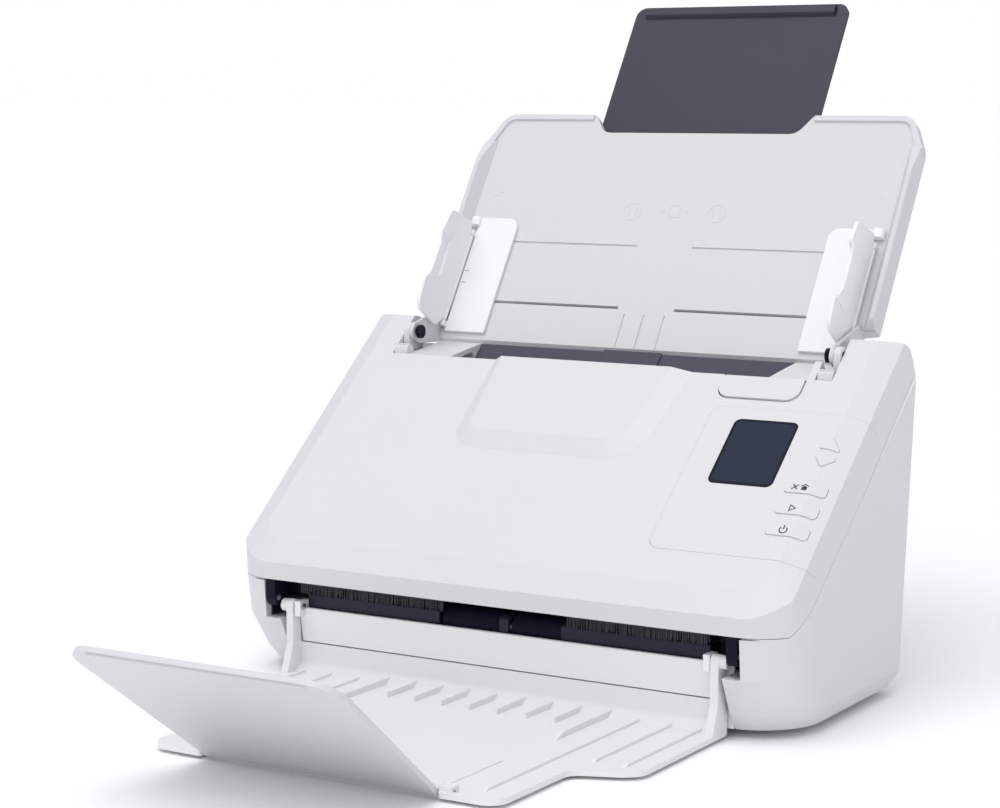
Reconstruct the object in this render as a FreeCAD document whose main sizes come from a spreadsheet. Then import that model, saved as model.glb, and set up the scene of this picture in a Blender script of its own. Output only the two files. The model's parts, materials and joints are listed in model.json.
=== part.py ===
import FreeCAD, Part
import math
import os
import re
from types import SimpleNamespace
from FreeCAD import Placement, Rotation, Vector

# Sheet fed document scanner. Millimetres, X right, Y back, Z up, front towards -Y.
# The origin lies on the desk below the middle of the body.

doc = FreeCAD.newDocument("DocumentScanner")

# Driving dimensions, by assembly.
driving = {
    # lower body: half width, front and back faces at the desk, at the seam and at the top
    "foot_height": 4.0, "wall": 2.6, "body_half": 155.1, "top_half": 159.0,
    "front_face": 68.0, "back_face": 69.3, "back_top": 72.4, "back_corner": 4.0,
    "slot_half": 131.5, "slot_floor": 30.6, "slot_roof": 50.2, "recess_half": 122.5,
    # slope of the front and of the paper path
    "seam_level": 97.0, "slope_angle": 40.0, "cover_height": 17.7, "rim_height": 12.85,
    "cover_half": 140.3, "rim_half": 151.8, "seam_half": 157.0, "cover_end": 68.4,
    "arm_inner": 126.5, "arm_top": 173.2, "path_depth": 8.0,
    # control panel, display and keys, in the sloped frame
    "panel_left": 72.3, "panel_low": -43.7, "panel_high": 47.3, "panel_skin": 1.6,
    "display_left": 86.8, "display_width": 33.4, "display_low": -1.5, "display_height": 41.4,
    "key_left": 127.3, "key_height": 6.8, "key_pitch": 13.0, "key_low": -29.3, "key_lift": 0.7,
    # latch and badge plate
    "badge_rise": 3.2, "latch_left": 70.4, "latch_width": 42.8, "latch_low": 53.5, "latch_height": 14.0,
    # exit tray and its stopper
    "tray_half": 120.0, "ear_half": 91.0, "tray_floor": 1.6, "tray_skin": 2.6,
    "tray_pivot_y": -61.5, "tray_pivot_z": 37.0, "arm_place": 116.0, "arm_width": 4.0,
    "stopper_y": -203.6, "stopper_z": 4.2, "stopper_tilt": 143.0, "stopper_length": 107.0,
    "stopper_skin": 2.4, "stopper_half": 61.0, "stopper_rise": 0.9,
    # front cover pivot
    "cover_pivot_y": -64.5, "cover_pivot_z": 41.0,
    # paper chute, its extension and the guides, in the frame of the chute
    "chute_y": 89.1, "chute_z": 180.0, "chute_angle": 57.3, "chute_half": 130.0,
    "chute_low": -23.6, "chute_high": 118.0, "chute_skin": 6.0, "rim_rise": 6.3,
    "chute_pivot_y": 55.8, "chute_pivot_z": 165.1,
    "leaf_half": 64.2, "leaf_low": 66.0, "leaf_length": 127.5, "leaf_skin": 2.7,
    "guide_inner": 92.0, "guide_outer": 116.6, "guide_skin": 1.7, "fence_skin": 1.8,
    # rollers and shafts
    "shaft_radius": 3.0, "roller_radius": 8.5, "pinch_radius": 5.0, "separation_radius": 9.0,
    "pin_radius": 1.6, "gear_module": 1.0, "gear_width": 3.2, "pulley_radius": 6.0,
    "running_fit": 0.05,
}

sheet = doc.addObject("Spreadsheet::Sheet", "Sizes")
for row, (alias, value) in enumerate(driving.items(), start=1):
    sheet.set(f"A{row}", alias)
    sheet.set(f"B{row}", str(value))
    sheet.setAlias(f"B{row}", alias)
doc.recompute()
size = SimpleNamespace(**driving)

level = Placement()
slope = Placement(Vector(0, 0, size.seam_level), Rotation(Vector(1, 0, 0), size.slope_angle))
leaf = Placement(Vector(0, size.chute_y, size.chute_z), Rotation(Vector(1, 0, 0), size.chute_angle))
flip = Placement(Vector(0, size.stopper_y, size.stopper_z),
                 Rotation(Vector(1, 0, 0), size.stopper_tilt))
origin_plane = {"x": "YZ_Plane", "y": "XZ_Plane", "z": "XY_Plane"}
turned = {"x": Rotation(Vector(0, 1, 0), 90), "y": Rotation(Vector(1, 0, 0), -90), "z": Rotation()}
both_sides = (("left", -1), ("right", 1))
nodes = {}
made = {"count": 0}


def helper_name(kind):
    made["count"] += 1
    return f"{kind}_{made['count']}"


# Words in a formula are the aliases of the sheet.
def bind(target, prop, formula):
    text = re.sub(r"[a-z_]+", lambda word: "Sizes." + word.group(), str(formula))
    target.setExpression(prop, text)


# A closed outline through corners (u, v) or (u, v, radius); a radius turns the corner into an arc.
def outline(corners):
    marks = []
    for index, corner in enumerate(corners):
        here = Vector(corner[0], corner[1], 0)
        radius = corner[2] if len(corner) > 2 else 0
        if not radius:
            marks.append((here, None, here))
            continue
        before = corners[index - 1]
        after = corners[(index + 1) % len(corners)]
        back = (Vector(before[0], before[1], 0) - here).normalize()
        ahead = (Vector(after[0], after[1], 0) - here).normalize()
        half = back.getAngle(ahead) / 2
        run = radius / math.tan(half)
        inward = (back + ahead).normalize()
        middle = here + inward * (radius / math.sin(half) - radius)
        marks.append((here + back * run, middle, here + ahead * run))
    pieces = []
    for index, (start, middle, end) in enumerate(marks):
        if middle is not None:
            pieces.append(Part.Arc(start, middle, end))
        following = marks[(index + 1) % len(marks)][0]
        if end.distanceToPoint(following) > 1e-6:
            pieces.append(Part.LineSegment(end, following))
    return pieces


def mirrored(right_half):
    left_half = [(-corner[0],) + tuple(corner[1:]) for corner in reversed(right_half)]
    return list(right_half) + left_half


# A padded sketch: the outline lies across the axis, and the pad runs from start for length.
def prism(frame, axis, corners, start, length):
    body = doc.addObject("PartDesign::Body", helper_name("prism"))
    sketch = body.newObject("Sketcher::SketchObject", helper_name("sketch"))
    planes = body.Origin.OriginFeatures
    plane = next(item for item in planes if item.Role == origin_plane[axis])
    sketch.AttachmentSupport = [(plane, "")]
    sketch.MapMode = "FlatFace"
    sketch.addGeometry(outline(corners))
    reverse = axis == "y"
    bind(sketch, "AttachmentOffset.Base.z", f"-({start})" if reverse else f"{start}")
    pad = body.newObject("PartDesign::Pad", helper_name("pad"))
    pad.Profile = sketch
    pad.Reversed = reverse
    bind(pad, "Length", length)
    body.Placement = frame
    return body


def block(frame, corner, spans):
    box = doc.addObject("Part::Box", helper_name("block"))
    for prop, formula in zip(("Length", "Width", "Height"), spans):
        bind(box, prop, formula)
    box.Placement = frame.multiply(Placement(Vector(*corner), Rotation()))
    return box


def rod(frame, start, axis, radius, length):
    cylinder = doc.addObject("Part::Cylinder", helper_name("rod"))
    bind(cylinder, "Radius", radius)
    bind(cylinder, "Height", length)
    cylinder.Placement = frame.multiply(Placement(Vector(*start), turned[axis]))
    return cylinder


def fuse(*pieces):
    if len(pieces) == 1:
        return pieces[0]
    union = doc.addObject("Part::MultiFuse", helper_name("union"))
    union.Shapes = list(pieces)
    return union


def cut(base, *tools):
    result = doc.addObject("Part::Cut", helper_name("cut"))
    result.Base = base
    result.Tool = fuse(*tools)
    return result


def common(first, second):
    result = doc.addObject("Part::MultiCommon", helper_name("common"))
    result.Shapes = [first, second]
    return result


def slope_point(along, height):
    return slope.multVec(Vector(0, along, height))


def node(label, piece):
    piece.Label = label
    nodes[label] = piece
    return piece


# The lower end of a span of the given width that starts at inner on one side of the middle.
def side_start(sign, inner, width):
    return inner if sign > 0 else -inner - width


# outer form
# One rounded rectangle of the body at one height; inset gives the inner wall.
def body_ring(height, half, front, back, corner, inset):
    front_radius = corner - inset
    back_radius = size.back_corner - inset
    corners = [(-half + inset, -front + inset, front_radius), (half - inset, -front + inset, front_radius),
               (half - inset, back - inset, back_radius), (-half + inset, back - inset, back_radius)]
    edges = [piece.toShape() for piece in outline(corners)]
    wire = Part.Wire(Part.__sortEdges__(edges))
    wire.translate(Vector(0, 0, height))
    return wire


def body_form(inset, floor):
    rings = [
        body_ring(size.foot_height + floor, size.body_half - 5, 51.5, 64.5, 32, inset),
        body_ring(12, size.body_half - 1.1, 57.5, 68.3, 34, inset),
        body_ring(size.slot_floor, size.body_half - 0.5, 66.5, 68.8, 28, inset),
        body_ring(size.slot_roof, size.body_half, size.front_face, size.back_face, 27, inset),
        body_ring(177, size.top_half, size.front_face, size.back_top, 22, inset),
    ]
    form = doc.addObject("Part::Feature", helper_name("form"))
    form.Shape = Part.makeLoft(rings, True, True)
    return form


slope_radians = math.radians(size.slope_angle)


# The seam: level above the exit slot, then rising along the slope.
def seam_cutter(gap):
    rise = gap / math.cos(slope_radians)
    front_level = size.slot_roof + (gap if gap > 0 else 0)
    knee = (front_level - size.seam_level - rise) / math.tan(slope_radians)
    far = 220.0
    top = size.seam_level + rise + far * math.tan(slope_radians)
    corners = [(-far, front_level), (knee, front_level), (far, top)]
    closing = [(far, -60.0), (-far, -60.0)] if gap > 0 else [(far, 400.0), (-far, 400.0)]
    return prism(level, "x", corners + closing, "-200", "400")


# lower body
def base_shell():
    walls = cut(body_form(0, 0), body_form(size.wall, size.wall))
    cheeks = [block(level, (side_start(sign, 118, 18), -68, 7), ("18", "20", "slot_roof - 7"))
              for _, sign in both_sides]
    cheek_form = common(fuse(*cheeks), body_form(0.2, 0.2))
    recess = block(level, (-size.recess_half, -90, -1), ("2*recess_half", "39.9", "slot_floor + 1"))
    slot = block(level, (-size.slot_half, -90, size.slot_floor), ("2*slot_half", "50", "30"))
    entry = block(level, (-118.8, 60, 148.4), ("2*118.8", "30", "30"))
    front_relief = block(level, (-200, -70, size.slot_roof - 0.8), ("400", "5.2", "5"))
    pin_bores = [rod(level, (side_start(sign, 124, 10.4), size.cover_pivot_y, size.cover_pivot_z), "x",
                     "pin_radius + 0.02", "10.4") for _, sign in both_sides]
    shaft_room = rod(level, (-152, exit_place.y, exit_place.z), "x", "shaft_radius + 0.6", "52")
    ports = [block(level, (-62, 60, 18), ("12.6", "20", "11.6")),
             block(level, (-92, 60, 18), ("14.6", "20", "13.6")),
             rod(level, (70, 60, 24), "y", "4.8", "20")]
    body = fuse(walls, cheek_form)
    return node("base_shell", cut(body, seam_cutter(0), recess, slot, entry, front_relief,
                                  shaft_room, *pin_bores, *ports))


def front_panel():
    profile = [(-60.2, 36.2, 0.6), (-57.2, 18.6), (-54.2, 17.6), (-54.2, 4.4), (-51.8, 4.4),
               (-51.8, 19.8), (-55, 21), (-57.8, 36.2, 0.6)]
    plate = prism(level, "x", profile, "-115.3", "230.6")
    pieces = [plate]
    for _, sign in both_sides:
        pieces.append(block(level, (side_start(sign, 115.3, 6.9), -53.2, 4.4), ("6.9", "1.6", "30")))
        pieces.append(block(level, (side_start(sign, 112.0, 3.3), -64.3, 32.4), ("3.3", "8.2", "7.6")))
    bores = [rod(level, (side_start(sign, 111, 6), size.tray_pivot_y, size.tray_pivot_z), "x",
                 "pin_radius + 0.02", "6") for _, sign in both_sides]
    return node("front_panel", cut(fuse(*pieces), *bores))


def rear_details():
    plate = prism(level, "x", [(69.0, 36), (71.0, 36), (73.8, 144), (72.0, 144)], "-110", "220")
    grooves = [block(level, (-90, 71.2, 60 + 8 * step), ("180", "10", "2.4")) for step in range(6)]
    node("rear_cover", cut(plate, *grooves))
    node("main_board", prism(level, "y", [(-92, 14, 2), (92, 14, 2), (92, 118, 2), (-92, 118, 2)],
                             "64.0", "1.6"))
    usb = cut(block(level, (-61.9, 66.2, 18.1), ("12.4", "2.8", "11.4")),
              block(level, (-59.9, 67.2, 20.1), ("8.4", "4", "7.4")))
    lan = cut(block(level, (-91.9, 66.2, 18.1), ("14.4", "2.8", "13.4")),
              block(level, (-89.4, 67.2, 19.6), ("9.4", "4", "9")))
    jack = cut(rod(level, (70, 66.2, 24), "y", "4.7", "2.6"), rod(level, (70, 67.2, 24), "y", "3.1", "3"))
    node("rear_ports", fuse(usb, lan, jack, rod(level, (70, 66.2, 24), "y", "0.9", "2.4")))


def entry_pieces():
    throat = [(75.4, 158.2), (67.7, 150.6), (58.5, 138), (60.4, 136.6), (69, 148.7), (75.4, 148.7)]
    ridge = [(75.4, 159), (68.6, 153.2), (58.6, 143), (58.5, 138), (67.7, 149.6), (75.4, 157)]
    node("entry_throat", fuse(prism(level, "x", throat, "-91.8", "183.6"),
                              prism(level, "x", ridge, "-17", "34")))
    ledge = [(75.4, 158.4), (52.2, 155.3), (42.4, 153.8), (44.7, 151.6), (52.6, 152.7), (66, 154.6),
             (69.2, 148.7), (75.4, 148.7)]
    ledges = [prism(level, "x", ledge, str(side_start(sign, 92.1, 26.3)), "26.3")
              for _, sign in both_sides]
    shoulder_room = block(slope, (113.1, size.cover_end - 2, 5), ("5", "16", "20"))
    collar = [(42.3, 154.2), (44.9, 151.4), (48.7, 151.4), (48.7, 161, 3.5), (43.2, 158.8, 3.5)]
    collars = [prism(level, "x", collar, str(side_start(sign, 118.2, 7.9)), "7.9")
               for _, sign in both_sides]
    node("entry_ledges", fuse(cut(fuse(*ledges), shoulder_room), *collars))


def paper_decks():
    depth = size.path_depth
    deck = [(151.5, -3), (121.5, -3), (119, -depth - 0.6)]
    under = [(119.5, -depth - 3), (122, -5.4), (151.5, -5.4)]
    right = under + deck
    profile = [(x, n) for x, n in right] + [(-x, n) for x, n in reversed(right)]
    plate = prism(slope, "y", profile, "-61", "133")
    openings = [
        block(slope, (-26, 38.5, -20), ("52", "19", "20")),
        block(slope, (-66, 12.5, -20), ("132", "15", "20")),
        block(slope, (-112.4, -17.6, -20), ("224.8", "17.2", "20")),
    ]
    node("lower_guide", cut(plate, *openings))
    sheet_guide = prism(slope, "y", [(-118.2, -depth + 0.4), (118.2, -depth + 0.4), (118.2, 14.2),
                                     (116.6, 14.2), (116.6, -depth + 2.4), (-116.6, -depth + 2.4),
                                     (-116.6, 14.2), (-118.2, 14.2)], "-57.6", "118.6")
    windows = [
        block(slope, (-24, 38, -20), ("48", "20", "32")),
        block(slope, (-66, 13, -20), ("132", "14", "20")),
        block(slope, (-110.4, -36.4, -20), ("220.8", "14.8", "20")),
        block(level, (-60, -60, 40), ("120", "20", "20")),
        block(slope, (76, -40, 7), ("60", "90", "10")),
    ]
    node("upper_guide", cut(sheet_guide, *windows))


def scan_units():
    node("lower_scan_unit", block(slope, (-112, -17.2, -24), ("224", "16.4", "14")))
    node("lower_scan_glass", block(slope, (-111.6, -16.2, -9.9), ("223.2", "14.4", "1.2")))
    node("upper_scan_unit", block(slope, (-110, -37.2, -5.1), ("220", "16.4", "12.6")))
    node("upper_scan_glass", block(slope, (-110, -36.2, -7.5), ("220", "14.4", "2.3")))


def lower_fixtures():
    foot_places = [(x, y) for x in (-116, 116) for y in (-28, 50)] + [(0, 0)]
    feet = [rod(level, (x, y, 0), "z", "7", "foot_height - 0.02") for x, y in foot_places]
    node("rubber_feet", fuse(*feet))
    pins = []
    for _, sign in both_sides:
        pins.append(rod(level, (side_start(sign, 111.4, 10.4), size.tray_pivot_y, size.tray_pivot_z),
                        "x", "pin_radius", "10.4"))
        pins.append(rod(level, (side_start(sign, 124.6, 9.6), size.cover_pivot_y, size.cover_pivot_z),
                        "x", "pin_radius", "9.6"))
    node("hinge_pins", fuse(*pins))
    liners = []
    for _, sign in both_sides:
        liners.append(block(level, (side_start(sign, 130.7, 0.7), -62, 31), ("0.7", "14", "18.6")))
        liners.append(block(level, (side_start(sign, 112.5, 18.6), -47.6, 31), ("18.6", "1.6", "18.6")))
    apron = prism(level, "x", [(-57.2, 36.4), (-57.2, 42.9, 1.2), (-54, 44.2, 2), (-38, 44.6), (-38, 43.2),
                               (-53.4, 42.8), (-55.6, 41.4), (-55.8, 36.4)], "-111.8", "223.6")
    shaft_room = rod(level, (-152, exit_place.y, exit_place.z), "x", "shaft_radius + 0.6", "52")
    roller_rooms = [block(level, (start, -58, 30), (str(width), "30", "30"))
                    for start, width in ((-34, 34), (5, 29))]
    node("exit_guide", cut(fuse(apron, *liners), shaft_room, *roller_rooms))
    posts = []
    for _, sign in both_sides:
        post = prism(level, "x", [(51.2, 136.6), (60.4, 144.3), (60.4, 169.7, 4.5), (51.2, 169.7, 4.5)],
                     str(side_start(sign, 122.6, 3.5)), "3.5")
        bore = rod(level, (side_start(sign, 122, 5), size.chute_pivot_y, size.chute_pivot_z), "x",
                   "2.42", "5")
        posts.append(cut(post, bore))
    node("chute_posts", fuse(*posts))
    pivots = []
    for _, sign in both_sides:
        pivots.append(rod(level, (side_start(sign, 118.9, 7.2), size.chute_pivot_y, size.chute_pivot_z),
                          "x", "2.4", "7.2"))
        pivots.append(rod(level, (side_start(sign, 117.4, 1.6), size.chute_pivot_y, size.chute_pivot_z),
                          "x", "3.6", "1.6"))
    node("chute_pivots", fuse(*pivots))


# drive
feed_place = slope_point(48, -size.path_depth - size.roller_radius)
transport_place = slope_point(20, -size.path_depth - size.roller_radius)
exit_place = Vector(0, -47.5, 36.8)
gear_teeth = {"feed": 18, "transport": 18, "idler": 18, "motor": 10}


# The place at the given distances from two others, on the lower side of the line between them.
def third_corner(first, second, first_run, second_run):
    apart = second - first
    along = (first_run ** 2 - second_run ** 2 + apart.Length ** 2) / (2 * apart.Length)
    across = math.sqrt(first_run ** 2 - along ** 2)
    ahead = apart.normalize()
    return first + ahead * along + Vector(0, ahead.z, -ahead.y) * across


def pitch_radius(name):
    return size.gear_module * gear_teeth[name] / 2


def pitch_run(first, second):
    return pitch_radius(first) + pitch_radius(second)


idler_place = third_corner(transport_place, feed_place, pitch_run("idler", "transport"),
                           pitch_run("idler", "feed"))
motor_place = idler_place + Vector(0, -0.35, -1).normalize() * pitch_run("idler", "motor")
gear_place = {"feed": feed_place, "transport": transport_place, "idler": idler_place,
              "motor": motor_place}


# The angle of a gear's first tooth, so that it meshes with a gear whose first tooth is at first_angle.
def mesh_angle(first, first_angle, second):
    run = gear_place[second] - gear_place[first]
    toward = math.atan2(run.z, run.y)
    offset = (toward - first_angle) / (2 * math.pi / gear_teeth[first])
    return toward + math.pi - (0.5 - offset) * 2 * math.pi / gear_teeth[second]


gear_angle = {"idler": 0.0}
for driven in ("feed", "transport", "motor"):
    gear_angle[driven] = mesh_angle("idler", 0.0, driven)


def gear(name, start, bore):
    place = gear_place[name]
    teeth = gear_teeth[name]
    pitch = pitch_radius(name)
    tooth_form = ((-0.27, -1.05), (-0.1, 0.7), (0.1, 0.7), (0.27, -1.05))
    corners = []
    for tooth in range(teeth):
        for share, rise in tooth_form:
            angle = gear_angle[name] + 2 * math.pi * (tooth + share) / teeth
            radius = pitch + rise * size.gear_module
            corners.append((place.y + radius * math.cos(angle), place.z + radius * math.sin(angle)))
    blank = prism(level, "x", corners, str(start), "gear_width")
    return cut(blank, rod(level, (start - 1, place.y, place.z), "x", bore, "gear_width + 2"))


def axle(place, start, end, radius="shaft_radius"):
    return rod(level, (start, place.y, place.z), "x", radius, str(end - start))


def tyres(place, spans):
    rings = []
    for start, width in spans:
        ring = rod(level, (start, place.y, place.z), "x", "roller_radius", str(width))
        rings.append(cut(ring, rod(level, (start - 1, place.y, place.z), "x", "shaft_radius + 0.01",
                                   str(width + 2))))
    return fuse(*rings)


gear_start = -140.4
pulley_start = -145.6


def drive():
    node("feed_shaft", fuse(axle(feed_place, gear_start - 0.2, 134.6), gear("feed", gear_start, "2.9")))
    node("feed_roller", tyres(feed_place, ((-22, 19), (3, 19))))
    node("transport_shaft", fuse(axle(transport_place, pulley_start, 134.6),
                                 gear("transport", gear_start, "2.9"),
                                 axle(transport_place, pulley_start, pulley_start + 3.4,
                                      "pulley_radius")))
    node("transport_roller", tyres(transport_place, ((-60, 26), (34, 26))))
    node("exit_shaft", fuse(axle(exit_place, pulley_start, 106),
                            axle(exit_place, pulley_start, pulley_start + 3.4, "pulley_radius")))
    node("exit_rollers", tyres(exit_place, ((-33, 32), (6, 27))))
    node("idler_gear", gear("idler", gear_start, "1.6"))
    node("motor_body", fuse(rod(level, (-134, motor_place.y, motor_place.z), "x", "15", "24"),
                            rod(level, (-136, motor_place.y, motor_place.z), "x", "4", "2"),
                            rod(level, (-141, idler_place.y, idler_place.z), "x", "1.6 - running_fit",
                                "7.4")))
    node("motor_pinion", fuse(gear("motor", gear_start, "1.1"),
                              rod(level, (gear_start - 0.2, motor_place.y, motor_place.z), "x", "1.2", "4.4")))
    loops = []
    run = transport_place - exit_place
    run.x = 0
    across = Vector(0, -run.z, run.y).normalize()
    for gap, start, width in ((1.7, pulley_start + 0.2, 3.0), (0.5, pulley_start - 1, 5.0)):
        radius = size.pulley_radius + gap
        ends = [rod(level, (start, place.y, place.z), "x", f"pulley_radius + {gap}", str(width))
                for place in (transport_place, exit_place)]
        rim = [exit_place + across * radius, transport_place + across * radius,
               transport_place - across * radius, exit_place - across * radius]
        span = prism(level, "x", [(mark.y, mark.z) for mark in rim], str(start), str(width))
        loops.append(fuse(span, *ends))
    node("drive_belt", cut(*loops))
    brackets = []
    for _, sign in both_sides:
        plate = prism(slope, "x", [(8, -30, 3), (60, -30, 3), (60, -5.5), (8, -5.5)],
                      str(side_start(sign, 130, 2.4)), "2.4")
        lower = block(level, (side_start(sign, 98, 2.4), -51.4, 14), ("2.4", "12.4", "28"))
        brackets.extend([plate, lower])
    bores = [rod(level, (-140, place.y, place.z), "x", "shaft_radius + running_fit", "280")
             for place in (feed_place, transport_place, exit_place)]
    motor_hole = rod(level, (-140, motor_place.y, motor_place.z), "x", "15 + running_fit", "30")
    node("roller_brackets", cut(fuse(*brackets), motor_hole, *bores))


def cover_rollers():
    separation = slope_point(48, -size.path_depth + 0.4 + size.separation_radius)
    node("separation_roller", fuse(
        rod(level, (-10, separation.y, separation.z), "x", "separation_radius", "20"),
        rod(level, (-23.4, separation.y, separation.z), "x", "2", "46.8")))
    pinch = slope_point(20, -size.path_depth + 0.4 + size.pinch_radius)
    node("pinch_rollers", fuse(
        rod(level, (-66, pinch.y, pinch.z), "x", "1.5", "132"),
        rod(level, (-56, pinch.y, pinch.z), "x", "pinch_radius", "18"),
        rod(level, (38, pinch.y, pinch.z), "x", "pinch_radius", "18")))
    node("exit_idlers", fuse(
        rod(level, (-40, -49.5, 50.8), "x", "1.5", "80"),
        rod(level, (-26, -49.5, 50.8), "x", "pinch_radius", "18"),
        rod(level, (11, -49.5, 50.8), "x", "pinch_radius", "18")))
    holders = []
    for place, half in ((separation, 23.6), (pinch, 66.2)):
        for _, sign in both_sides:
            holders.append((place, side_start(sign, half - 3, 2.4)))
    arms = []
    for place, start in holders:
        top = slope.inverse().multVec(place)
        arms.append(block(slope, (start, top.y - 3.4, top.z - 2.8), ("2.4", "6.8", str(14.6 - top.z + 2.8))))
    for _, sign in both_sides:
        arms.append(block(level, (side_start(sign, 37.2, 2.4), -52.9, 48), ("2.4", "6.8", "10")))
    bores = [rod(level, (-70, separation.y, separation.z), "x", "2.06", "140"),
             rod(level, (-70, pinch.y, pinch.z), "x", "1.56", "140"),
             rod(level, (-70, -49.5, 50.8), "x", "1.56", "140")]
    node("roller_holders", cut(fuse(*arms), *bores))


# front cover
# The outer skin of cover and panel across the slope: flat face, bevel, side strip.
def skin(lift, left):
    return [(left, size.cover_height + lift),
            (size.cover_half + 0.2 * lift, size.cover_height + lift),
            (size.rim_half + 0.75 * lift, size.rim_height + 0.66 * lift),
            (154.2 + 0.93 * lift, 7.0 + 0.37 * lift)]


def roof_ring(height, half, front, radius):
    corners = [(-half, -front, radius), (half, -front, radius), (half, 140, 4), (-half, 140, 4)]
    wire = Part.Wire(Part.__sortEdges__([piece.toShape() for piece in outline(corners)]))
    wire.Placement = slope.multiply(Placement(Vector(0, 0, height), Rotation()))
    return wire


key_names = ("power_key", "start_key", "cancel_key")
arrow_names = ("up_key", "down_key")
arrows = {"up_key": ((134.6, 25.2), (145.9, 24.6), (139.9, 32.4)),
          "down_key": ((134.4, 21.2), (145.8, 20.6), (139.8, 13.6))}


def key_profile(lift, margin):
    return [(size.key_left - margin, size.cover_height + lift),
            (size.cover_half + 0.2 * lift, size.cover_height + lift),
            (147.2 + margin, 14.79 + 0.9 * lift - 0.42 * margin), (147.0 + margin, 10.6),
            (size.key_left - margin, 10.6)]


# A triangle moved outward by margin on each side.
def spread(corners, margin):
    middle = [sum(corner[axis] for corner in corners) / 3 for axis in (0, 1)]
    grown = []
    for x, along in corners:
        away = Vector(x - middle[0], along - middle[1], 0)
        away = away * (1 + 2 * margin / away.Length)
        grown.append((middle[0] + away.x, middle[1] + away.y, 1 + margin))
    return grown


# The outline of a key from the front, grown by margin.
def key_outline(index, margin):
    low = size.key_low + index * size.key_pitch
    left, right, high = size.key_left - margin, 147.2 + margin, low + size.key_height + margin
    low -= margin
    return [(left, low, 1.6), (right, low, 2.4), (right, high, 1.6), (left, high, 1.6)]


def key_windows(margin):
    windows = [prism(slope, "z", key_outline(index, margin), "7", "15")
               for index in range(len(key_names))]
    for name in arrow_names:
        windows.append(prism(slope, "z", spread(arrows[name], margin), "7", "15"))
    return windows


def display_outline(margin):
    left, right = size.display_left - margin, size.display_left + size.display_width + margin
    low, high = size.display_low - margin, size.display_low + size.display_height + margin
    return [(left, low, 3.6), (right, low, 3.6), (right, high, 3.6), (left, high, 3.6)]


def display_window(margin):
    return prism(slope, "z", display_outline(margin), "4", "18")


# The outline of the control panel from the front, grown by margin.
def panel_outline(margin):
    left, right = size.panel_left - margin, 158 + margin
    low, high = size.panel_low - margin, size.panel_high + margin
    return [(left, low, 6), (right, low, 7), (right, high, 9), (left, high, 6)]


def front_cover():
    roof = doc.addObject("Part::Feature", helper_name("roof"))
    roof.Shape = Part.makeLoft([
        roof_ring(-8, size.seam_half + 3.2, 116, 30), roof_ring(size.rim_height, size.rim_half, 85, 26),
        roof_ring(size.cover_height, size.cover_half, 62.6, 14)], True, True)
    rear_round = prism(level, "x", [(-100, 20), (size.back_top + 0.2, 20),
                                    (size.back_top + 0.2, size.arm_top - 2, 7), (58, size.arm_top + 0.4, 12),
                                    (-100, 45)], "-170", "340")
    form = common(common(body_form(0, 0), roof), rear_round)
    solid = cut(form, seam_cutter(0.3))
    far = 140
    between = block(slope, (-size.arm_inner, size.cover_end, -30), ("2*arm_inner", str(far), "90"))
    shoulder = block(slope, (104, size.cover_end - 1, 12), ("13.4", "13.4", "cover_height - 12"))
    cavity = prism(slope, "y", [(-150, -12), (150, -12), (148.5, 7), (137, 14.9), (-137, 14.9),
                                (-148.5, 7)], "-58", "122")
    idler_room = block(level, (-62, -63, 40), ("124", "24", "18"))
    notches = [block(level, (side_start(sign, 118.4, 8.1), 49.4, 120), ("8.1", "40", "60"))
               for _, sign in both_sides]
    left, right = size.latch_left - 0.5, size.latch_left + size.latch_width + 0.5
    latch_room = prism(slope, "z", [(left, size.latch_low - 0.8, 7), (right, size.latch_low - 0.8, 7),
                                    (right, 90), (left, 90)], "9.6", "20")
    trunnion = rod(slope, (66, 65.2, 13.2), "x", "1.05", "52")
    pocket_corners = skin(3, size.panel_left - 0.3) + list(reversed(skin(-1.9, size.panel_left - 0.3)))
    pocket = common(prism(slope, "y", pocket_corners, "panel_low - 0.3", "panel_high - panel_low + 0.6"),
                    prism(slope, "z", panel_outline(0.12), "-10", "40"))
    body = cut(solid, between)
    body = cut(fuse(body, shoulder), cavity, idler_room, latch_room, trunnion, pocket,
               display_window(0.5), *key_windows(0.5), *notches)
    return node("front_cover", body)


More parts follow.
